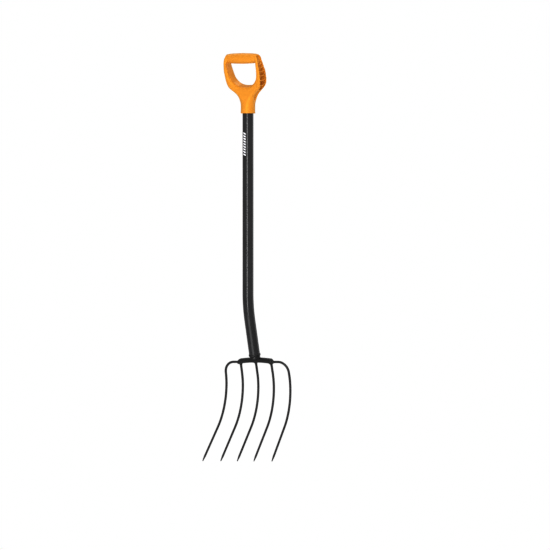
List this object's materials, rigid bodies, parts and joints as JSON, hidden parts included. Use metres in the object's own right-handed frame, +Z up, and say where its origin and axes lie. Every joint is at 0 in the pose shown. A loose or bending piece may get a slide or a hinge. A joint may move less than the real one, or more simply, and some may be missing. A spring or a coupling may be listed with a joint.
{
  "type": "manure fork",
  "caption": "Long-handled garden fork with slim curved round tines on an arched crown, a cranked steel tube shaft and a forward-leaning moulded D-grip.",
  "frame": {"origin": "the point on the underside of the D-grip's bar, midway between its legs, where the fork hangs on a peg", "axes": "+Z up along the straight upper part of the shaft, towards the grip; +X across the tines; the tines curve forwards, towards -Y"},
  "size_m": [0.2652, 0.1262, 1.2895],
  "materials": {
    "grip_plastic": "satin moulded orange plastic, fine grain",
    "shaft_paint": "smooth black powder coat, semi-gloss",
    "head_paint": "black paint over drawn and forged steel, satin",
    "bare_steel": "zinc-plated or bare steel"
  },
  "bodies": {
    "root": {"handle": "grip_plastic", "handle_screw": "bare_steel", "shaft": "shaft_paint", "shaft_stub": "head_paint", "shaft_weld": "head_paint", "crown": "head_paint", "outer_tine_left": "head_paint", "inner_tine_left": "head_paint", "centre_tine": "head_paint", "inner_tine_right": "head_paint", "outer_tine_right": "head_paint", "outer_weld_left": "head_paint", "inner_weld_left": "head_paint", "centre_weld": "head_paint", "inner_weld_right": "head_paint", "outer_weld_right": "head_paint"}
  },
  "joints": []
}
